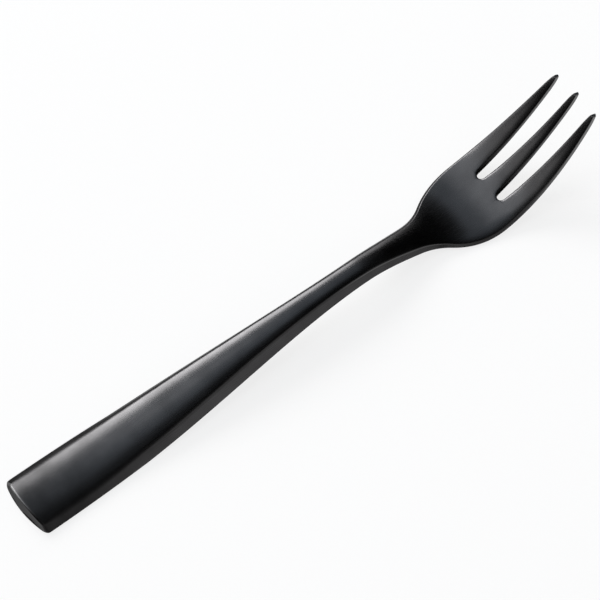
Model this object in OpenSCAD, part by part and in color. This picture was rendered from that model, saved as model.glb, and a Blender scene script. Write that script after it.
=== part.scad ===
// Three-tined pastry fork in black coated steel, lying face up.
// x runs from the butt to the tips, y to the fork's left and z up. All lengths are in millimetres.
// The fork rests on a flat land under the butt and on the belly of its head.

/* [Handle] */
// Length of the handle, from the butt to the narrowest place
handle_l = 92.5; // [75:0.5:115]
// Width across the butt
butt_w = 15.7; // [12:0.1:20]
// How late the handle narrows: 1 is an even taper, more keeps it wide for longer
taper_power = 1.3; // [1:0.05:1.8]
// Height of the side wall at the butt
butt_t = 2; // [1.2:0.1:3]
// Height of the side wall where the handle is thickest
grip_t = 3.3; // [2:0.1:4.5]
// Distance from the butt to the thickest place
grip_x = 58; // [40:1:70]
// Rise of the rounded top over its edges, at the butt
butt_crown = 1.2; // [0.4:0.1:2]
// How far the side walls lean in from the bottom edge to the top edge
side_lean = 1.5; // [0.6:0.1:2.2]
// Softness of the top edges at the butt
butt_soft = 1; // [0.3:0.05:1.2]
// How far the butt bows out between its corners
butt_bow = 1.1; // [0.3:0.1:2.5]
// How far the end face leans in from bottom to top
butt_lean = 0.6; // [0:0.1:1.2]
// Length over which the bow and the lean fade out
butt_fade_l = 11; // [8:0.5:20]
// Radius of the corners of the butt, seen from above
butt_corner_r = 1.7; // [0.5:0.1:3]
// Distance from the butt to where the underside starts to rise
rest_x = 18; // [2:0.5:30]
// Depth ground off the underside for the flat land
rest_cut = 0.3; // [0.1:0.05:0.6]

/* [Neck] */
// Length of the neck, from the narrowest place to the hollow of the shoulders
neck_l = 15.5; // [10:0.5:20]
// Width of the neck at its narrowest, over its bottom edges
neck_w = 6.7; // [5:0.1:10]
// How far each side of the neck spreads before the hollow
neck_spread = 0.7; // [0.1:0.1:1]
// Rise of the rounded top over its edges, at the neck
neck_crown = 0.6; // [0.2:0.1:1.2]
// Height of the underside above the table at the neck
arch_h = 4.8; // [2:0.1:8]
// Softness of the top edges from the neck to the tips
edge_soft = 0.15; // [0.05:0.05:0.3]

/* [Head] */
// Length of the head, from the neck to the roots of the slots
head_l = 22; // [18:0.5:28]
// Width of the head at its widest
head_w = 20.6; // [16:0.1:26]
// Distance from the widest place to the roots of the slots
widest_back = 3; // [0:0.5:5]
// Thickness of the head
head_t = 1.4; // [1.2:0.1:2.5]
// Radius of the hollow where the neck turns out into the shoulders
hollow_r = 14; // [6:1:20]
// Distance from the belly, where the head rests, to the roots of the slots
belly_back = 9.5; // [3:0.5:12]

/* [Tines] */
// Length of the outer tines, from the roots of the slots to the tips
tine_l = 25; // [20:0.5:36]
// How much further the middle tine reaches
middle_extra = 0.4; // [0:0.1:1.5]
// Height of the underside at the tips
tip_rise = 17.4; // [8:0.1:20]
// Width over the tips of the outer tines
tip_span = 14.4; // [11:0.1:18]
// How late the outer edges draw in to the tips: 1 is an even taper, more keeps them wide for longer
tine_power = 1.85; // [1.2:0.05:2.2]
// Width of each tine at its tip
tip_w = 1.25; // [1:0.05:2]
// Thickness of each tine at its tip
tip_t = 1.3; // [1:0.05:1.6]
// Length of the rounded nose of each tine
nose_l = 2.8; // [1:0.1:4]
// How far the nose draws in on every side
nose_in = 0.35; // [0.1:0.05:0.4]
// How far the outer side walls lean in at the tips
tip_lean = 0.1; // [0.05:0.05:0.3]
// Distance between the two slots at their roots
slot_spacing = 7.1; // [5.5:0.1:9]
// Radius of the round roots of the slots
slot_root_r = 0.95; // [0.5:0.05:1.2]

/* [Edges] */
// Height of the upright strip along the foot of the side walls
edge_h = 0.3; // [0.1:0.05:0.6]
// How far the underside lifts at its edges
edge_lift = 0.35; // [0.1:0.05:0.5]

/* [Hidden] */
steel = [0.1, 0.1, 0.11];

// Places along the length
neck_end = handle_l + neck_l;
root_x = neck_end + head_l;
tip_x = root_x + tine_l;
fork_l = tip_x + middle_extra;
belly_x = root_x - belly_back;
widest_x = root_x - widest_back;
slot_y = slot_spacing / 2;

// The hollow starts at the slope of the neck's sides and turns into the round of the shoulders
spread_angle = atan(2 * neck_spread / neck_l);
flare_l = widest_x - neck_end;
flare_gain = (head_w - neck_w) / 2 - neck_spread;
hollow_fall = flare_gain * cos(spread_angle) - flare_l * sin(spread_angle);
shoulder_r = (pow(flare_l, 2) + pow(flare_gain, 2) - 2 * hollow_r * hollow_fall)
    / (2 * (flare_gain + hollow_r * (1 - cos(spread_angle))));
hollow_x = neck_end - hollow_r * sin(spread_angle);
hollow_y = neck_w / 2 + neck_spread + hollow_r * cos(spread_angle);
flare_turn_x = hollow_x + (widest_x - hollow_x) * hollow_r / (hollow_r + shoulder_r);

// Number of steps along each piece, across half of the top and round a top edge
handle_steps = 24;
corner_steps = 5;
neck_steps = 6;
head_steps = 18;
tine_steps = 14;
root_steps = 6;
nose_steps = 4;
crown_steps = 5;
soft_steps = 3;

// Length over which a slope is measured
slope_step = 0.1;

// Room round what the flat land is cut with
cut_room = 2;

function mix(a, b, t) = a + (b - a) * t;
function unit(t) = min(1, max(0, t));
function smooth(t) = let (s = unit(t)) s * s * (3 - 2 * s);

// Underside: flat at the butt, arched at the neck, down to the belly and up to the tips
function under(x) =
    x < handle_l ? mix(-rest_cut, arch_h, smooth((x - rest_x) / (handle_l - rest_x)))
    : x < belly_x ? arch_h * (1 - smooth((x - handle_l) / (belly_x - handle_l)))
    : tip_rise * pow((x - belly_x) / (tip_x - belly_x), 2);

// Thickness at the edges, square to the underside and then straight up
function thickness(x) =
    x < grip_x ? mix(butt_t, grip_t, smooth(x / grip_x))
    : x < belly_x ? mix(grip_t, head_t, smooth((x - grip_x) / (belly_x - grip_x)))
    : mix(head_t, tip_t, (x - belly_x) / (tip_x - belly_x));
function slope(x) = (under(x + slope_step) - under(x - slope_step)) / (2 * slope_step);
function upright(x) = thickness(x) * sqrt(1 + pow(slope(x), 2));

// Rise of the rounded top, which fades out before the belly
function crown(x) =
    x < handle_l ? mix(butt_crown, neck_crown, smooth(x / handle_l))
    : neck_crown * (1 - smooth((x - handle_l) / (belly_x - handle_l)));

// Lean of the side walls and softness of the top edges
function lean(x) = mix(side_lean, tip_lean, unit((x - grip_x) / (tip_x - grip_x)));
function soft(x) = mix(butt_soft, edge_soft, smooth(x / handle_l));

// Half of the width: the handle's taper and the corners of the butt
function taper(x) = (butt_w - neck_w) / 2 * (1 - smooth(pow(x / handle_l, taper_power)));
function corner(x) =
    x < butt_corner_r ? butt_corner_r - sqrt(pow(butt_corner_r, 2) - pow(butt_corner_r - x, 2)) : 0;

// Half of the width all along: the handle, the neck, the hollow, the shoulders and the outer tines
function half_w(x) =
    x < handle_l ? neck_w / 2 + taper(x) - corner(x)
    : x < neck_end ? neck_w / 2 + neck_spread * pow((x - handle_l) / neck_l, 2)
    : x < flare_turn_x ? hollow_y - sqrt(pow(hollow_r, 2) - pow(x - hollow_x, 2))
    : x < widest_x ? head_w / 2 - shoulder_r + sqrt(pow(shoulder_r, 2) - pow(widest_x - x, 2))
    : head_w / 2 - (head_w - tip_span) / 2 * pow((x - widest_x) / (tip_x - widest_x), tine_power);

// Columns across a section, each [y, top, bottom]: the left or right top edge and side wall
function edge_columns(x) =
    let (
        w = half_w(x),
        a = w - lean(x),
        low = under(x),
        top = low + upright(x),
        foot = low + edge_lift + edge_h,
        wall = [w - a, foot - top],
        r = soft(x),
        start = [a - r, top + crown(x) * (1 - pow((a - r) / a, 2))],
        mid = [a, top],
        end = mid + wall * r / norm(wall)
    )
    concat(
        [for (i = [0 : soft_steps])
            let (t = i / soft_steps, p = mix(mix(start, mid, t), mix(mid, end, t), t))
            [p[0], p[1], low]],
        [[w, foot, low + edge_lift]]
    );

// Columns from the middle out to where the top edge starts
function crown_columns(x) =
    let (a = half_w(x) - lean(x), low = under(x), top = low + upright(x))
    [for (i = [0 : crown_steps - 1])
        let (y = (a - soft(x)) * i / crown_steps)
        [y, top + crown(x) * (1 - pow(y / a, 2)), low]];

function mirrored(columns) =
    [for (i = [len(columns) - 1 : -1 : 0]) [-columns[i][0], columns[i][1], columns[i][2]]];

// A whole section of the handle, neck or head
function body_columns(x) =
    let (half = concat(crown_columns(x), edge_columns(x)))
    concat(mirrored([for (i = [1 : len(half) - 1]) half[i]]), half);

// Sides of a slot: round at the root, then straight to the tips
function slot_round(d) = d < slot_root_r ? sqrt(pow(slot_root_r, 2) - pow(slot_root_r - d, 2)) : slot_root_r;
function slot_outer(x) =
    let (d = x - root_x)
    slot_y + slot_round(d) + (tip_span / 2 - tip_w - slot_y - slot_root_r) * d / tine_l;
function slot_inner(x) =
    let (d = x - root_x)
    slot_y - slot_round(d) - (slot_y - slot_root_r - tip_w / 2) * d / tine_l;

// How far the nose draws a section in, that far before the end of a tine
function nose(d) = nose_in * (1 - sqrt(1 - pow(unit(1 - d / nose_l), 2)));

// Draws a section in towards its middle
function drawn_in(columns, inset) =
    let (
        first = columns[0][0],
        last = columns[len(columns) - 1][0],
        middle = (first + last) / 2,
        ky = 1 - 2 * inset / (last - first),
        kz = 1 - 2 * inset / tip_t
    )
    [for (c = columns)
        let (z = (c[1] + c[2]) / 2)
        [mix(middle, c[0], ky), mix(z, c[1], kz), mix(z, c[2], kz)]];

function outer_columns(x) =
    let (top = under(x) + upright(x))
    drawn_in(
        concat([[slot_outer(x), top, under(x)]], edge_columns(x)),
        nose(tip_x - x)
    );
function middle_columns(x) =
    let (y = slot_inner(x), top = under(x) + upright(x))
    drawn_in(
        [[-y, top, under(x)], [0, top, under(x)], [y, top, under(x)]],
        nose(fork_l - x)
    );

// The butt bows out and its end face leans in: how far a point is set back along x
function set_back(x, y, z) =
    pow(1 - unit(x / butt_fade_l), 2)
    * (butt_bow * pow(2 * y / butt_w, 2) + butt_lean * z / (butt_t + butt_crown));

// The sections of the tines tilt more and more, until the end of a tine is square to its slope
function tilt(x) = slope(x) / (1 + pow(slope(x), 2)) * unit((x - root_x) / tine_l);
function top_point(x, c) =
    let (back = tilt(x) * (c[1] - c[2]))
    [x + set_back(x, c[0], c[1]) - back, c[0], c[1] - back * slope(x)];
function bottom_point(x, c) = [x + set_back(x, c[0], c[2]), c[0], c[2]];

// Points round a section: along the top from right to left, then back along the bottom
function section(x, columns) =
    concat(
        [for (c = columns) top_point(x, c)],
        [for (i = [len(columns) - 1 : -1 : 0]) bottom_point(x, columns[i])]
    );

// A closed solid through sections that have the same number of points
module loft(sections) {
    rings = len(sections);
    count = len(sections[0]);
    half = count / 2;
    points = [for (s = sections) for (p = s) p];
    sides = [for (k = [0 : rings - 2]) for (i = [0 : count - 1])
        let (
            a = k * count + i,
            b = k * count + (i + 1) % count,
            c = a + count,
            d = b + count
        )
        each [[a, b, d], [a, d, c]]];
    end = (rings - 1) * count;
    caps = [for (i = [0 : half - 2])
        let (p = i, q = i + 1, r = count - 2 - i, s = count - 1 - i)
        each [
            [p, s, r], [p, r, q],
            [end + p, end + q, end + r], [end + p, end + r, end + s]
        ]];
    translate([-fork_l / 2, 0, 0])
        polyhedron(points, concat(sides, caps), convexity = 4);
}

// Stations along each piece
function steps(from, to, n) = [for (i = [0 : n]) mix(from, to, i / n)];
handle_stations = concat(
    [for (i = [0 : corner_steps - 1]) butt_corner_r * (1 - cos(90 * i / corner_steps))],
    steps(butt_corner_r, handle_l, handle_steps)
);
root_stations = [for (i = [0 : root_steps - 1]) root_x + slot_root_r * (1 - cos(90 * i / root_steps))];
function tine_stations(end) =
    concat(
        root_stations,
        steps(root_x + slot_root_r, end - nose_l, tine_steps),
        [for (i = [1 : nose_steps]) end - nose_l * (1 - sin(90 * i / nose_steps))]
    );

module outer_tine() {
    loft([for (x = tine_stations(tip_x)) section(x, outer_columns(x))]);
}

module handle() {
    color(steel)
        difference() {
            loft([for (x = handle_stations) section(x, body_columns(x))]);
            translate([-fork_l / 2 - cut_room, -butt_w, -rest_cut - cut_room])
                cube([handle_l, 2 * butt_w, rest_cut + cut_room]);
        }
}

module neck() {
    color(steel)
        loft([for (x = steps(handle_l, neck_end, neck_steps)) section(x, body_columns(x))]);
}

module head() {
    color(steel)
        loft([for (x = steps(neck_end, root_x, head_steps)) section(x, body_columns(x))]);
}

module left_tine() {
    color(steel)
        outer_tine();
}

module middle_tine() {
    color(steel)
        loft([for (x = tine_stations(fork_l)) section(x, middle_columns(x))]);
}

module right_tine() {
    color(steel)
        mirror([0, 1, 0])
            outer_tine();
}

handle();
neck();
head();
left_tine();
middle_tine();
right_tine();
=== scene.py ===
import math

import bpy
import numpy as np
from mathutils import Matrix, Vector


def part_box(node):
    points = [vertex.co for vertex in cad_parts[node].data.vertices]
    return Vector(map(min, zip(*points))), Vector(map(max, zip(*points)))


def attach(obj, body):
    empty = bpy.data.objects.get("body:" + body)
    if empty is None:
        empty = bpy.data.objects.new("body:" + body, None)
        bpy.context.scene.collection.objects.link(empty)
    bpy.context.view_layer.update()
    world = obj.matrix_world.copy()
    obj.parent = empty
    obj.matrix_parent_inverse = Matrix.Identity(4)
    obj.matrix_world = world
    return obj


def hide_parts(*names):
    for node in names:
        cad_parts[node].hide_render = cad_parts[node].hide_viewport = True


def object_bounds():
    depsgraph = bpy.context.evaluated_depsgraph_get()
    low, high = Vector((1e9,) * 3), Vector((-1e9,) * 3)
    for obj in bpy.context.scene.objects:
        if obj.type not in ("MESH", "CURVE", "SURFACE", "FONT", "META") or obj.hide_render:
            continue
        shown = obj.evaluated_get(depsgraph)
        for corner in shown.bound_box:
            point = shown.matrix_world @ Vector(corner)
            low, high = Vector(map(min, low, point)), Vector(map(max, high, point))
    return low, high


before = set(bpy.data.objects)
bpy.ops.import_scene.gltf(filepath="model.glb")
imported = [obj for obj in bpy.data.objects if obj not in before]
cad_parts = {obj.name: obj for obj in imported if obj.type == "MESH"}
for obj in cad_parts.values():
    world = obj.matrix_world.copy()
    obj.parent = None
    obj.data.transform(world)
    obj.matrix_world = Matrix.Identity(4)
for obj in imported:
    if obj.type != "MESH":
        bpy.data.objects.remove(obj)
cad_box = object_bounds()

# A three-tined pastry fork along X: the butt is at -X, left is +Y, and it rests on the floor at Z = 0
MM = 0.001

# Places along the fork, from the frame
BUTT_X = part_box("handle")[0].x
HANDLE_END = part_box("handle")[1].x
NECK_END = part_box("neck")[1].x
ROOT_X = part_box("head")[1].x
TIP_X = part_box("left_tine")[1].x
MIDDLE_TIP_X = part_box("middle_tine")[1].x
HANDLE_L = HANDLE_END - BUTT_X
TINE_L = TIP_X - ROOT_X

# Handle
BUTT_W = 15.7 * MM
TAPER_POWER = 1.3
BUTT_T = 2.0 * MM
GRIP_T = 3.3 * MM
GRIP_X = BUTT_X + 58 * MM
BUTT_CROWN = 1.2 * MM
SIDE_LEAN = 1.5 * MM
BUTT_SOFT = 1.0 * MM
END_SOFT = 0.4 * MM
END_SOFT_L = 6 * MM
BUTT_BOW = 1.1 * MM
BUTT_LEAN = 0.6 * MM
BUTT_FADE_L = 11 * MM
BUTT_CORNER_R = 1.2 * MM
END_RIM = 0.8 * MM
END_RIM_IN = 0.3 * MM
END_LIFT = 0.4 * MM
END_LIFT_L = 20 * MM
REST_X = BUTT_X + 18 * MM
REST_CUT = 0.3 * MM

# Neck
NECK_W = 6.7 * MM
NECK_SPREAD = 0.7 * MM
NECK_CROWN = 0.52 * MM
CROWN_FADE_X = NECK_END - 4 * MM
CROWN_FADE_L = 20 * MM
NECK_SOFT = 0.4 * MM
ARCH_H = 4.8 * MM

# Head
HEAD_W = cad_box[1].y - cad_box[0].y
HEAD_T = 1.4 * MM
HEAD_SOFT = 0.25 * MM
WIDEST_X = ROOT_X - 3 * MM
BELLY_X = ROOT_X - 9.5 * MM
HOLLOW_R = 14 * MM
PALM_ROLL_RIGHT = 0.4 * MM
PALM_ROLL_LEFT = 0.1 * MM
PALM_ROLL_W = 3 * MM

# Tines
TIP_RISE = 17.4 * MM
TIP_SPAN = 14.4 * MM
TINE_POWER = 1.85
TIP_W = 1.25 * MM
TIP_T = 1.3 * MM
NOSE_L = 2.8 * MM
NOSE_IN = 0.3 * MM
TIP_R = 0.15 * MM
TIP_LEAN = 0.1 * MM
SLOT_Y = 3.55 * MM
SLOT_R = 0.95 * MM
SLOT_RIM = 0.65 * MM
TIP_RIM = 0.15 * MM
RIM_DEPTH = 0.4
ROOT_CROWN = 0.5 * MM
TIP_CROWN = 0.07 * MM
CROWN_BLEND_X = ROOT_X - 2.5 * MM
CROWN_BLEND_L = 8 * MM

# Foot of the side walls
FOOT_H = 0.45 * MM
FOOT_IN = 0.55 * MM

# The hollow starts at the slope of the neck's sides and turns into the round of the shoulders
SPREAD_ANGLE = math.atan(2 * NECK_SPREAD / (NECK_END - HANDLE_END))
FLARE_L = WIDEST_X - NECK_END
FLARE_GAIN = (HEAD_W - NECK_W) / 2 - NECK_SPREAD
HOLLOW_FALL = FLARE_GAIN * math.cos(SPREAD_ANGLE) - FLARE_L * math.sin(SPREAD_ANGLE)
SHOULDER_R = (FLARE_L**2 + FLARE_GAIN**2 - 2 * HOLLOW_R * HOLLOW_FALL) / (
    2 * (FLARE_GAIN + HOLLOW_R * (1 - math.cos(SPREAD_ANGLE)))
)
HOLLOW_X = NECK_END - HOLLOW_R * math.sin(SPREAD_ANGLE)
HOLLOW_Y = NECK_W / 2 + NECK_SPREAD + HOLLOW_R * math.cos(SPREAD_ANGLE)
FLARE_TURN_X = HOLLOW_X + (WIDEST_X - HOLLOW_X) * HOLLOW_R / (HOLLOW_R + SHOULDER_R)

# Steps of the mesh
SLOPE_STEP = 0.1 * MM
STATION_STEP = 0.7 * MM
SAME_PLACE = 0.0001 * MM
SOFT_STEPS = 6
WALL_STEPS = 4
FOOT_STEPS = 6
OUTER_STEPS = 14
MIDDLE_STEPS = 8
RIM_STEPS = 4
SLOT_WALL_STEPS = 4
SLOT_ROOT_STEPS = 12
END_STEPS = 14
TIP_STEPS = 5

# Closer steps: beside a slot and before its root in widths of its rim, before a tip in lengths of its nose
RIM_REACH = (1.5, 2.2)
ROOT_NEAR = (3, 2.2, 1.6, 1.1, 0.8, 0.5, 0.25, 0)
NOSE_NEAR = (0.85, 0.7, 0.55, 0.4, 0.28, 0.18, 0.1)


# Shapes along the fork
def mix(a, b, t):
    return a + (b - a) * t


def unit(t):
    return np.clip(t, 0, 1)


def smooth(t):
    s = unit(t)
    return s * s * (3 - 2 * s)


def rising(value, start, end):
    """A smooth rise from 0 at start to 1 at end."""
    return smooth((value - start) / (end - start))


def between(value, low, high, fade):
    """1 from low to high, and 0 from fade outside of that."""
    return smooth((value - low) / fade + 1) * smooth((high - value) / fade + 1)


def arc_rise(distance, radius):
    """How far a circle of that radius has left its tangent after that distance along it."""
    return radius - np.sqrt(np.clip(radius**2 - distance**2, 0, None))


def under(x):
    """Height of the underside before the land at the butt is ground flat."""
    handle = mix(-REST_CUT, ARCH_H, rising(x, REST_X, HANDLE_END))
    neck = ARCH_H * (1 - rising(x, HANDLE_END, BELLY_X))
    tines = TIP_RISE * ((x - BELLY_X) / (TIP_X - BELLY_X)) ** 2
    return np.where(x < HANDLE_END, handle, np.where(x < BELLY_X, neck, tines))


def bottom(x):
    return np.maximum(under(x), 0)


def slope(x):
    return (under(x + SLOPE_STEP) - under(x - SLOPE_STEP)) / (2 * SLOPE_STEP)


def upright(x):
    """Height of the edges over the underside: the thickness, taken straight up."""
    handle = mix(BUTT_T, GRIP_T, rising(x, BUTT_X, GRIP_X))
    neck = mix(GRIP_T, HEAD_T, rising(x, GRIP_X, BELLY_X))
    tines = mix(HEAD_T, TIP_T, (x - BELLY_X) / (TIP_X - BELLY_X))
    thickness = np.where(x < GRIP_X, handle, np.where(x < BELLY_X, neck, tines))
    return thickness * np.sqrt(1 + slope(x) ** 2)


def crown(x):
    """Rise of the rounded top of the handle and neck over its edges."""
    handle = mix(BUTT_CROWN, NECK_CROWN, rising(x, BUTT_X, HANDLE_END))
    neck = NECK_CROWN * (1 - rising(x, CROWN_FADE_X, CROWN_FADE_X + CROWN_FADE_L))
    return np.where(x < HANDLE_END, handle, neck)


def lean(x):
    """How far the side walls lean in."""
    return mix(SIDE_LEAN, TIP_LEAN, unit((x - GRIP_X) / (TIP_X - GRIP_X)))


def soft(x):
    """Size of the rounding between the top and the side walls."""
    end = mix(END_SOFT, BUTT_SOFT, rising(x, BUTT_X, BUTT_X + END_SOFT_L))
    handle = mix(end, NECK_SOFT, rising(x, BUTT_X, HANDLE_END))
    head = mix(NECK_SOFT, HEAD_SOFT, rising(x, HANDLE_END, BELLY_X))
    return np.where(x < HANDLE_END, handle, head)


def half_width(x):
    """Half of the width: the handle, the neck, the hollow, the shoulders and the outer tines."""
    taper = (BUTT_W - NECK_W) / 2 * (1 - smooth(unit((x - BUTT_X) / HANDLE_L) ** TAPER_POWER))
    corner = arc_rise(np.clip(BUTT_CORNER_R - (x - BUTT_X), 0, None), BUTT_CORNER_R)
    spread = NECK_SPREAD * ((x - HANDLE_END) / (NECK_END - HANDLE_END)) ** 2
    hollow = HOLLOW_Y - HOLLOW_R + arc_rise(x - HOLLOW_X, HOLLOW_R)
    shoulder = HEAD_W / 2 - arc_rise(WIDEST_X - x, SHOULDER_R)
    drawn = unit((x - WIDEST_X) / (TIP_X - WIDEST_X)) ** TINE_POWER
    tine = HEAD_W / 2 - (HEAD_W - TIP_SPAN) / 2 * drawn
    return np.select(
        [x < HANDLE_END, x < NECK_END, x < FLARE_TURN_X, x < WIDEST_X],
        [NECK_W / 2 + taper - corner, NECK_W / 2 + spread, hollow, shoulder],
        tine,
    )


def top_edge(x):
    return half_width(x) - lean(x)


def slot_sides(x):
    """Where the left slot's sides are: on the outer tine and on the middle tine."""
    past_root = np.clip(x - ROOT_X, 0, None)
    opened = np.sqrt(np.clip(SLOT_R**2 - np.clip(SLOT_R - past_root, 0, None) ** 2, 0, None))
    outer = SLOT_Y + opened + (TIP_SPAN / 2 - TIP_W - SLOT_Y - SLOT_R) * past_root / TINE_L
    inner = SLOT_Y - opened - (SLOT_Y - SLOT_R - TIP_W / 2) * past_root / TINE_L
    return outer, inner


# The top and the rims
def slot_gap(x, y):
    """How far it is to the nearest slot."""
    outer, inner = slot_sides(x)
    beside = np.maximum(np.abs(y) - outer, inner - np.abs(y))
    centre = ROOT_X + SLOT_R
    round_root = np.hypot(x - centre, np.abs(y) - SLOT_Y) - SLOT_R
    return np.where(x < centre, round_root, beside)


def rim(x):
    """Width of the rounded rim of the slots."""
    return mix(SLOT_RIM, TIP_RIM, unit((x - ROOT_X) / TINE_L))


def rim_drop(x, y):
    """How far the rounded rim of the slots lowers the surface."""
    return arc_rise(1 - unit(slot_gap(x, y) / rim(x)), 1) * RIM_DEPTH * rim(x)


def palm_roll(x, y):
    """The edges of the palm roll down a little, the right one more."""
    reach = unit((np.abs(y) - top_edge(x) + PALM_ROLL_W) / PALM_ROLL_W)
    deep = np.where(y < 0, PALM_ROLL_RIGHT, PALM_ROLL_LEFT)
    return deep * reach**2 * rising(x, NECK_END, BELLY_X)


def tine_round(x, y):
    """The top of each tine is rounded across; taking off the mean, 1/3, keeps its height."""
    outer, inner = slot_sides(x)
    middle = (top_edge(x) + outer) / 2
    on_outer = (np.abs(y) - middle) / (middle - outer)
    across = np.where(np.abs(y) > inner, on_outer, y / inner)
    return mix(ROOT_CROWN, TIP_CROWN, unit((x - ROOT_X) / TINE_L)) * (across**2 - 1 / 3)


def top(x, y):
    lift = END_LIFT * unit(1 - (x - BUTT_X) / END_LIFT_L) ** 2
    plain = under(x) + upright(x) + lift + crown(x) * (1 - (y / top_edge(x)) ** 2)
    share = rising(x, CROWN_BLEND_X, CROWN_BLEND_X + CROWN_BLEND_L)
    return plain - mix(palm_roll(x, y), tine_round(x, y), share)


# Sections across the fork, as loops of (y, z); those of the right side are made as if on the left
LEFT, RIGHT = 1, -1
ROOT_TOP_HALF = float(top_edge(ROOT_X) - soft(ROOT_X))


def steps(n):
    return np.arange(n + 1) / n


def quarter(radius, n):
    """Distances in from its tangent at which a quarter circle is followed."""
    return radius * (1 - np.cos(math.pi / 2 * steps(n)))


def line(start, end, n):
    """Points on a straight line, both ends left out."""
    t = steps(n)[1:-1, None]
    return mix(np.array(start), np.array(end), t)


def curve(start, turn, end, n):
    """Points on a quadratic curve, both ends included."""
    start, turn, end = np.array(start), np.array(turn), np.array(end)
    t = steps(n)[:, None]
    return mix(mix(start, turn, t), mix(turn, end, t), t)


def mirrored(points):
    return points[::-1] * [-1, 1]


def above(x, y, side=LEFT):
    return np.stack([y, top(x, side * y) - rim_drop(x, y)], 1)


def below(x, y):
    return np.stack([y, bottom(x) + rim_drop(x, y)], 1)[::-1]


def edge_profile(x, side):
    """Points down the side: the soft top edge, the leaning wall and the rounded foot."""
    wide, edge, low = half_width(x), top_edge(x), bottom(x)
    start = edge - soft(x)
    corner = np.array([edge, top(x, side * edge)])
    foot = np.array([wide, low + FOOT_H])
    end = mix(corner, foot, soft(x) / np.linalg.norm(foot - corner))
    return np.concatenate([
        curve((start, top(x, side * start)), corner, end, SOFT_STEPS),
        line(end, foot, WALL_STEPS),
        curve(foot, (wide, low), (wide - FOOT_IN, low), FOOT_STEPS),
    ])


def places_across(start, end, n, rim_w, rim_at_end=False):
    """Places across from a slot's side to end, closer together at the slot's rim."""
    near = rim_w * np.append(quarter(1, RIM_STEPS), RIM_REACH)
    first = start + near
    last = end - near[::-1] if rim_at_end else np.array([end])
    return np.concatenate([first, mix(first[-1], last[0], steps(n)[1:-1]), last])


def body_loop(x):
    """A section of the handle, neck or head: up the right side, over the top, down the left and back."""
    edge, right_edge = edge_profile(x, LEFT), edge_profile(x, RIGHT)
    scale = edge[0, 0] / ROOT_TOP_HALF
    split, rim_w = SLOT_Y * scale, SLOT_RIM * scale
    outer = places_across(split, edge[0, 0], OUTER_STEPS, rim_w)[1:-1]
    middle = places_across(-split, split, MIDDLE_STEPS, rim_w, rim_at_end=True)
    across = np.concatenate([-outer[::-1], middle, outer])
    foot = edge[-1, 0] / edge[0, 0]
    return np.concatenate([mirrored(right_edge), above(x, across), edge, below(x, across * foot)])


def outer_loop(x, side):
    """A section of an outer tine."""
    edge = edge_profile(x, side)
    slot = slot_sides(x)[0]
    across = places_across(slot, edge[0, 0], OUTER_STEPS, rim(x))[:-1]
    foot = (edge[-1, 0] - slot) / (edge[0, 0] - slot)
    high, low = above(x, across, side), below(x, mix(slot, across, foot))
    return np.concatenate([high, edge, low, line(low[-1], high[0], SLOT_WALL_STEPS)])


def left_loop(x):
    return outer_loop(x, LEFT)


def right_loop(x):
    return outer_loop(x, RIGHT)


def middle_loop(x):
    """A section of the middle tine."""
    side = slot_sides(x)[1]
    across = places_across(-side, side, MIDDLE_STEPS, rim(x), rim_at_end=True)
    high, low = above(x, across), below(x, across)
    left = line(high[-1], low[0], SLOT_WALL_STEPS)
    return np.concatenate([high, left, low, mirrored(left)])


# Rings of points, placed along the fork
def set_back(x, y, z):
    """The butt bows out and its end face leans in."""
    fade = (1 - unit((x - BUTT_X) / BUTT_FADE_L)) ** 2
    return fade * (BUTT_BOW * (2 * y / BUTT_W) ** 2 + BUTT_LEAN * z / (BUTT_T + BUTT_CROWN))


def ring(x, loop):
    """A section's points in the frame; on the tines it tilts until it is square to their slope."""
    y, z = loop(x).T
    turned = slope(x) / (1 + slope(x) ** 2) * unit((x - ROOT_X) / TINE_L)
    back = turned * (z - bottom(x))
    return np.stack([x + set_back(x, y, z) - back, y, z - back * slope(x)], 1)


def drawn_in(points, inset):
    """A ring drawn in towards its middle by inset on every side."""
    low, high = points[:, 1:].min(0), points[:, 1:].max(0)
    middle, half = (low + high) / 2, (high - low) / 2
    out = points.copy()
    out[:, 1:] = middle + (points[:, 1:] - middle) * (1 - inset / half)
    return out


def nose(before):
    """How far a tine is drawn in, that far before its end: a long nose and a small round end."""
    long = arc_rise(unit(1 - before / NOSE_L), 1) * NOSE_IN
    return long + arc_rise(unit(1 - before / TIP_R), 1) * TIP_R


def stations(start, end):
    n = max(1, round((end - start) / STATION_STEP))
    return [mix(start, end, i / n) for i in range(n + 1)]


def end_rings():
    """Rings from the butt's end face to where its rounded rim is over."""
    turn = math.pi / 2 * steps(END_STEPS)
    places = BUTT_X + END_RIM * (1 - np.cos(turn))
    insets = END_RIM_IN * (1 - np.sin(turn))
    return [drawn_in(ring(x, body_loop), inset) for x, inset in zip(places, insets)]


def handle_rings():
    places = stations(BUTT_X + END_RIM, HANDLE_END)[1:]
    return end_rings() + [ring(x, body_loop) for x in places]


def neck_rings():
    return [ring(x, body_loop) for x in stations(HANDLE_END, NECK_END)]


def head_rings():
    near = [ROOT_X - SLOT_RIM * k for k in ROOT_NEAR]
    places = stations(NECK_END, near[0])[:-1] + near
    return [ring(x, body_loop) for x in places]


def tine_rings(end, loop):
    places = [ROOT_X + d for d in quarter(SLOT_R, SLOT_ROOT_STEPS)]
    places += stations(ROOT_X + SLOT_R, end - NOSE_L)[1:]
    places += [end - NOSE_L * k for k in NOSE_NEAR]
    places += [end - d for d in quarter(TIP_R, TIP_STEPS)[::-1]]
    return [drawn_in(ring(x, loop), nose(end - x)) for x in places]


def right_tine_rings():
    """Rings made as if on the left, mirrored and turned round to face out again."""
    return [(points * [1, -1, 1])[::-1] for points in tine_rings(TIP_X, right_loop)]


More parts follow.
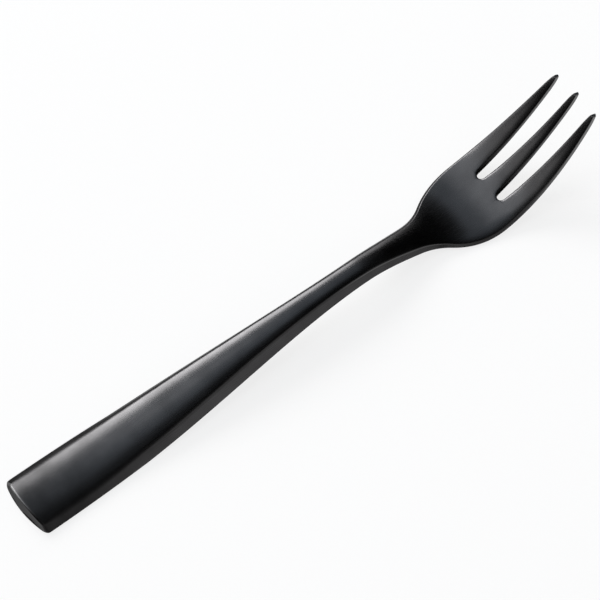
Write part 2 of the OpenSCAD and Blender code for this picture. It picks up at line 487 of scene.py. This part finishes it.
# How light the coat is painted: 0 is painted black shade, COAT is the coat's own black, 1 is painted light
COAT = 0.15
PATCH_WEAR = 0.1
# Painted highlights and reflections, lighter than the coat
EDGE_HIGHLIGHT = 0.25
EDGE_HIGHLIGHT_L = 12 * MM
SIDE_REFLECTION = 0.5
TIP_REFLECTION = 0.1
TIP_REFLECTION_L = 8 * MM
END_REFLECTION = 0.2
END_RIM_HIGHLIGHT = 0.42
END_RIM_Y = (-BUTT_W / 4, BUTT_W / 4)
# Painted black shade in the slots near their roots
SLOT_SHADE_L = 9 * MM
MATT_L = 34 * MM
# Painted shade, darker than the coat, on the butt over the length of its matt finish and where the neck dips
# into the head
BUTT_SHADE = 0.065
HOLLOW_SHADE = 0.09
HOLLOW_SHADE_X = (NECK_END - 6 * MM, NECK_END + 5 * MM)
HOLLOW_SHADE_L = 7 * MM

# Which way the surface faces there, 1 being straight that way: low, high and fade of a band
EDGE_TO_RIGHT = (0.62, 0.72, 0.08)
SIDE_TO_SIDE = (0.95, 1, 0.15)
END_TO_BUTT = (0.9, 1, 0.2)
END_RIM_TO_BUTT = (0.3, 0.7, 0.15)

# The same as start and end of a rise
END_RIM_UP = (0, 0.4)
SLOT_TO_RIGHT = (0.3, 0.6)
TIP_END_FORWARD = (0.2, 0.5)
TIP_END_UP = (0, 0.3)
HOLLOW_UP = (0.75, 0.9)
HOLLOW_TO_RIGHT = (-0.2, 0)


def painted_highlight_places(x, y, to_butt, to_right, up):
    """Painted highlights and reflections: a light line on the neck's right edge, the tines' sides and tips
    lighter as a painted reflection of the lit floor, the butt's end face and the upper left of its rim.
    """
    handle = x < HANDLE_END
    edges = EDGE_HIGHLIGHT * between(x, HANDLE_END, NECK_END, EDGE_HIGHLIGHT_L) * between(to_right, *EDGE_TO_RIGHT)
    sides = SIDE_REFLECTION * rising(x, ROOT_X, TIP_X) * between(np.abs(to_right), *SIDE_TO_SIDE)
    tips = TIP_REFLECTION * rising(x, TIP_X - TIP_REFLECTION_L, TIP_X)
    end = END_REFLECTION * handle * between(to_butt, *END_TO_BUTT)
    upper_left = rising(up, *END_RIM_UP) * rising(y, *END_RIM_Y)
    end_rim = END_RIM_HIGHLIGHT * handle * between(to_butt, *END_RIM_TO_BUTT) * upper_left
    return np.max([edges, sides, tips, end, end_rim], axis=0)


def painted_shade_places(x, to_right, up):
    """Painted shade: the butt darker, and the top darker where the neck dips into the head."""
    butt = BUTT_SHADE * (1 - rising(x, BUTT_X, BUTT_X + MATT_L))
    on_top = rising(up, *HOLLOW_UP) * rising(to_right, *HOLLOW_TO_RIGHT)
    return butt + HOLLOW_SHADE * between(x, *HOLLOW_SHADE_X, HOLLOW_SHADE_L) * on_top


def painted_black_places(x, y, to_butt, to_right, up):
    """Painted black shade: on the left rims of the slots near their roots, and on the forward faces of the
    very tips.
    """
    in_slot = (slot_gap(x, y) < rim(x)) * rising(to_right, *SLOT_TO_RIGHT)
    slot_root = in_slot * (1 - rising(x, ROOT_X, ROOT_X + SLOT_SHADE_L))
    tip_end = (x > TIP_X - NOSE_L) * rising(-to_butt, *TIP_END_FORWARD) * rising(up, *TIP_END_UP)
    return np.maximum(slot_root, tip_end)


def coat_level_with_painted_light(points, normals):
    """The coat's level on its colour ramp at each point, with painted light and shade; the finish adds
    patches of up to PATCH_WEAR.
    """
    x, y = points[:, 0], points[:, 1]
    to_butt, to_right, up = -normals[:, 0], -normals[:, 1], normals[:, 2]
    painted = painted_highlight_places(x, y, to_butt, to_right, up) - painted_shade_places(x, to_right, up)
    blackened = painted_black_places(x, y, to_butt, to_right, up)
    return mix(COAT - PATCH_WEAR / 2 + painted, -PATCH_WEAR, blackened)


# Meshes
def loft(rings):
    """Points and quads of a skin over rings of the same number of points."""
    count = len(rings[0])
    quads = []
    for k in range(len(rings) - 1):
        for i in range(count):
            j = (i + 1) % count
            quads.append((k * count + j, k * count + i, (k + 1) * count + i, (k + 1) * count + j))
    return np.concatenate(rings), np.array(quads)


def skin_normals(skins):
    """Normals of the whole fork's skin at the points of each piece, so that no seam shows."""
    points = np.concatenate([p for p, _ in skins])
    starts = np.cumsum([0] + [len(p) for p, _ in skins])
    quads = np.concatenate([q + start for (_, q), start in zip(skins, starts)])
    places = np.round(points / SAME_PLACE).astype(np.int64)
    shared = np.unique(places, axis=0, return_inverse=True)[1].ravel()
    a, b, c, d = (points[quads[:, k]] for k in range(4))
    areas = np.cross(c - a, d - b)
    sums = np.zeros((shared.max() + 1, 3))
    for k in range(4):
        np.add.at(sums, shared[quads[:, k]], areas)
    normals = sums[shared]
    normals /= np.linalg.norm(normals, axis=1, keepdims=True)
    return np.split(normals, starts[1:-1])


def make_piece(name, points, quads, normals, count):
    """A closed mesh of a skin and two flat ends, shaded with the given normals."""
    ends = [tuple(range(count)), tuple(range(len(points) - count, len(points)))[::-1]]
    mesh = bpy.data.meshes.new(name)
    mesh.from_pydata(points.tolist(), [], quads.tolist() + ends)
    mesh.shade_smooth()
    shading = []
    for face in mesh.polygons:
        flat = face.vertices[:] in ends
        shading += [face.normal if flat else normals[v] for v in face.vertices]
    mesh.normals_split_custom_set(shading)
    # The coat's level with painted light and shade on it, read by the material
    coat_and_painted_light = mesh.attributes.new("coat_and_painted_light", "FLOAT", "POINT")
    coat_and_painted_light.data.foreach_set("value", coat_level_with_painted_light(points, normals).astype(np.float32))
    piece = bpy.data.objects.new(name, mesh)
    bpy.context.scene.collection.objects.link(piece)
    return piece


def make_fork(finish):
    rings = {
        "handle": handle_rings(),
        "neck": neck_rings(),
        "head": head_rings(),
        "left_tine": tine_rings(TIP_X, left_loop),
        "middle_tine": tine_rings(MIDDLE_TIP_X, middle_loop),
        "right_tine": right_tine_rings(),
    }
    skins = [loft(r) for r in rings.values()]
    for node, skin, normals in zip(rings, skins, skin_normals(skins)):
        piece = make_piece("fork_" + node, *skin, normals, len(rings[node][0]))
        piece.data.materials.append(finish)
        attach(piece, "root")
        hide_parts(node)


# Shader nodes
def grey(level):
    return (level, level, level, 1)


def new_material(name):
    material = bpy.data.materials.new(name)
    material.use_nodes = True
    return material


def add_node(tree, kind, **inputs):
    """A new shader node; the names of its inputs are written with _ for a space."""
    node = tree.nodes.new("ShaderNode" + kind)
    for name, value in inputs.items():
        node.inputs[name.replace("_", " ")].default_value = value
    return node


def add_math(tree, operation, *terms):
    """The result of a maths node whose terms are numbers or other nodes' results."""
    node = add_node(tree, "Math")
    node.operation = operation
    for socket, term in zip(node.inputs, terms):
        if isinstance(term, bpy.types.NodeSocket):
            tree.links.new(term, socket)
        else:
            socket.default_value = term
    return node.outputs["Value"]


# Finish, with scales per metre
EDGE_TINT = 0.4
GRAIN_SCALE = (60, 2500, 2500)
GRAIN_DETAIL = 3
SCRATCH_STRENGTH = 0.15
SCRATCH_DEPTH = 0.01 * MM
LEAST_ROUGH = 0.23
MOST_ROUGH = 0.31
MATT_ROUGHNESS = 0.095
PATCH_SCALE = 170
# Ends of the colour ramp: painted black shade and the patches' darker tone, painted light and the patches'
# paler tone
DARK_TONE_AND_SHADE = grey(0.004)
BLACK_COAT = (0.051, 0.05, 0.051, 1)
PALE_TONE_AND_HIGHLIGHT = grey(0.3)


def brush(tree, place, shader):
    """Fine scratches along the fork, and a finish that turns matt towards the butt."""
    stretched = add_node(tree, "Mapping", Scale=GRAIN_SCALE)
    tree.links.new(place, stretched.inputs["Vector"])
    grain = add_node(tree, "TexNoise", Scale=1, Detail=GRAIN_DETAIL)
    tree.links.new(stretched.outputs["Vector"], grain.inputs["Vector"])

    scratches = add_node(tree, "Bump", Strength=SCRATCH_STRENGTH, Distance=SCRATCH_DEPTH)
    tree.links.new(grain.outputs["Fac"], scratches.inputs["Height"])
    tree.links.new(scratches.outputs["Normal"], shader.inputs["Normal"])

    gloss = add_node(tree, "MapRange", To_Min=LEAST_ROUGH, To_Max=MOST_ROUGH)
    tree.links.new(grain.outputs["Fac"], gloss.inputs["Value"])
    along = add_node(tree, "SeparateXYZ")
    tree.links.new(place, along.inputs["Vector"])
    matt = add_node(
        tree, "MapRange", From_Min=BUTT_X, From_Max=BUTT_X + MATT_L, To_Min=MATT_ROUGHNESS, To_Max=0
    )
    tree.links.new(along.outputs["X"], matt.inputs["Value"])
    rough = add_math(tree, "ADD", gloss.outputs["Result"], matt.outputs["Result"])
    tree.links.new(rough, shader.inputs["Roughness"])


def coat(tree, place, shader):
    """The colour of the coat, from its painted light and shade and from soft patches of its own tone."""
    patches = add_node(tree, "TexNoise", Scale=PATCH_SCALE)
    tree.links.new(place, patches.inputs["Vector"])
    coat_and_painted_light = add_node(tree, "Attribute")
    coat_and_painted_light.attribute_name = "coat_and_painted_light"
    coat_level = add_math(tree, "MULTIPLY_ADD", patches.outputs["Fac"], PATCH_WEAR, coat_and_painted_light.outputs["Fac"])

    # From painted black shade through the coat's own black to painted light
    colour = add_node(tree, "ValToRGB")
    colour.color_ramp.elements[0].color = DARK_TONE_AND_SHADE
    colour.color_ramp.elements[1].color = PALE_TONE_AND_HIGHLIGHT
    colour.color_ramp.elements.new(COAT).color = BLACK_COAT
    tree.links.new(coat_level, colour.inputs["Fac"])
    tree.links.new(colour.outputs["Color"], shader.inputs["Base Color"])


def black_steel():
    """Black coated steel, brushed along the fork."""
    material = new_material("black_steel")
    tree = material.node_tree
    shader = tree.nodes["Principled BSDF"]
    shader.inputs["Metallic"].default_value = 1
    shader.inputs["Specular Tint"].default_value = grey(EDGE_TINT)
    place = add_node(tree, "TexCoord").outputs["Object"]
    brush(tree, place, shader)
    coat(tree, place, shader)
    return material


# Stage
FLOOR_HALF = 3.0
FLOOR_GREY = 0.9
FLOOR_WHITE = 0.8
WORLD_GREY = 0.01
LAMP_AWAY = 2.4
WHITE = (1, 1, 1)
COOL = (0.77, 0.88, 1)


def pale_floor():
    """A pale floor that stays white to the eye and in the metal, and takes a light shadow."""
    material = new_material("pale_floor")
    tree = material.node_tree
    shader = tree.nodes["Principled BSDF"]
    shader.inputs["Base Color"].default_value = grey(FLOOR_GREY)
    shader.inputs["Roughness"].default_value = 1
    shader.inputs["Specular IOR Level"].default_value = 0
    rays = add_node(tree, "LightPath").outputs
    seen = add_math(tree, "MAXIMUM", rays["Is Camera Ray"], rays["Is Glossy Ray"])
    seen = add_math(tree, "MAXIMUM", seen, rays["Is Transmission Ray"])
    white = add_node(tree, "Emission")
    blend = add_node(tree, "MixShader")
    tree.links.new(add_math(tree, "MULTIPLY", seen, FLOOR_WHITE), blend.inputs["Fac"])
    tree.links.new(shader.outputs["BSDF"], blend.inputs[1])
    tree.links.new(white.outputs["Emission"], blend.inputs[2])
    tree.links.new(blend.outputs["Shader"], tree.nodes["Material Output"].inputs["Surface"])
    return material


def make_floor():
    h = FLOOR_HALF
    mesh = bpy.data.meshes.new("floor")
    mesh.from_pydata([(-h, -h, 0), (h, -h, 0), (h, h, 0), (-h, h, 0)], [], [(0, 1, 2, 3)])
    mesh.materials.append(pale_floor())
    floor = bpy.data.objects.new("floor", mesh)
    bpy.context.scene.collection.objects.link(floor)


def make_world():
    world = bpy.data.worlds.new("studio")
    world.use_nodes = True
    world.node_tree.nodes["Background"].inputs["Color"].default_value = grey(WORLD_GREY)
    bpy.context.scene.world = world


def direction(azimuth, elevation):
    """The way that many degrees round from +X towards +Y and up from the floor."""
    a, e = math.radians(azimuth), math.radians(elevation)
    return Vector((math.cos(a) * math.cos(e), math.sin(a) * math.cos(e), math.sin(e)))


def make_softbox(name, azimuth, elevation, size, brightness, colour=WHITE):
    """A soft light in that direction from the fork; a brightness of 1 is white."""
    way = direction(azimuth, elevation)
    data = bpy.data.lights.new(name, "AREA")
    data.shape = "RECTANGLE"
    data.size, data.size_y = size
    data.energy = brightness * math.pi * size[0] * size[1]
    data.color = colour
    light = bpy.data.objects.new(name, data)
    light.location = way * LAMP_AWAY
    light.visible_camera = False
    light.rotation_euler = way.to_track_quat("Z", "Y").to_euler()
    bpy.context.scene.collection.objects.link(light)


def make_lights():
    """Named as seen from the camera."""
    make_softbox("far_light", azimuth=84, elevation=31.4, size=(1.26, 0.88), brightness=12)
    make_softbox("far_strip_light", azimuth=90, elevation=24, size=(4.00, 0.95), brightness=3.7)
    make_softbox("top_light", azimuth=84, elevation=66, size=(2.00, 1.90), brightness=0.94, colour=COOL)
    make_softbox("left_light", azimuth=127, elevation=56, size=(1.95, 1.75), brightness=1.36)
    make_softbox("right_light", azimuth=-48, elevation=22, size=(4.20, 1.90), brightness=0.67)
    make_softbox("near_light", azimuth=-112, elevation=37, size=(1.16, 1.90), brightness=0.77)


# Camera: where the photograph was taken from in degrees, and what is in the middle of it
CAMERA_AZIMUTH = -127.233
CAMERA_ELEVATION = 61.097
CAMERA_ROLL = -0.672
CAMERA_DISTANCE = 0.9
FRAME_W = 132.96 * MM
FRAME_RIGHT = -1.288 * MM
FRAME_UP = 2.085 * MM
AIM = Vector((0.3 * MM, 0, 4 * MM))


def make_camera():
    back = direction(CAMERA_AZIMUTH, CAMERA_ELEVATION)
    level = Vector((0, 0, 1)).cross(back).normalized()
    right = Matrix.Rotation(math.radians(CAMERA_ROLL), 3, back) @ level
    up = back.cross(right)
    data = bpy.data.cameras.new("camera")
    data.lens = data.sensor_width * CAMERA_DISTANCE / FRAME_W
    camera = bpy.data.objects.new("camera", data)
    turn = Matrix((right, up, back)).transposed().to_4x4()
    place = AIM + right * FRAME_RIGHT + up * FRAME_UP + back * CAMERA_DISTANCE
    camera.matrix_world = Matrix.Translation(place) @ turn
    bpy.context.scene.collection.objects.link(camera)
    bpy.context.scene.camera = camera


make_fork(black_steel())
make_floor()
make_lights()
make_world()
make_camera()
bpy.context.scene.view_settings.view_transform = "Standard"

bpy.context.view_layer.update()
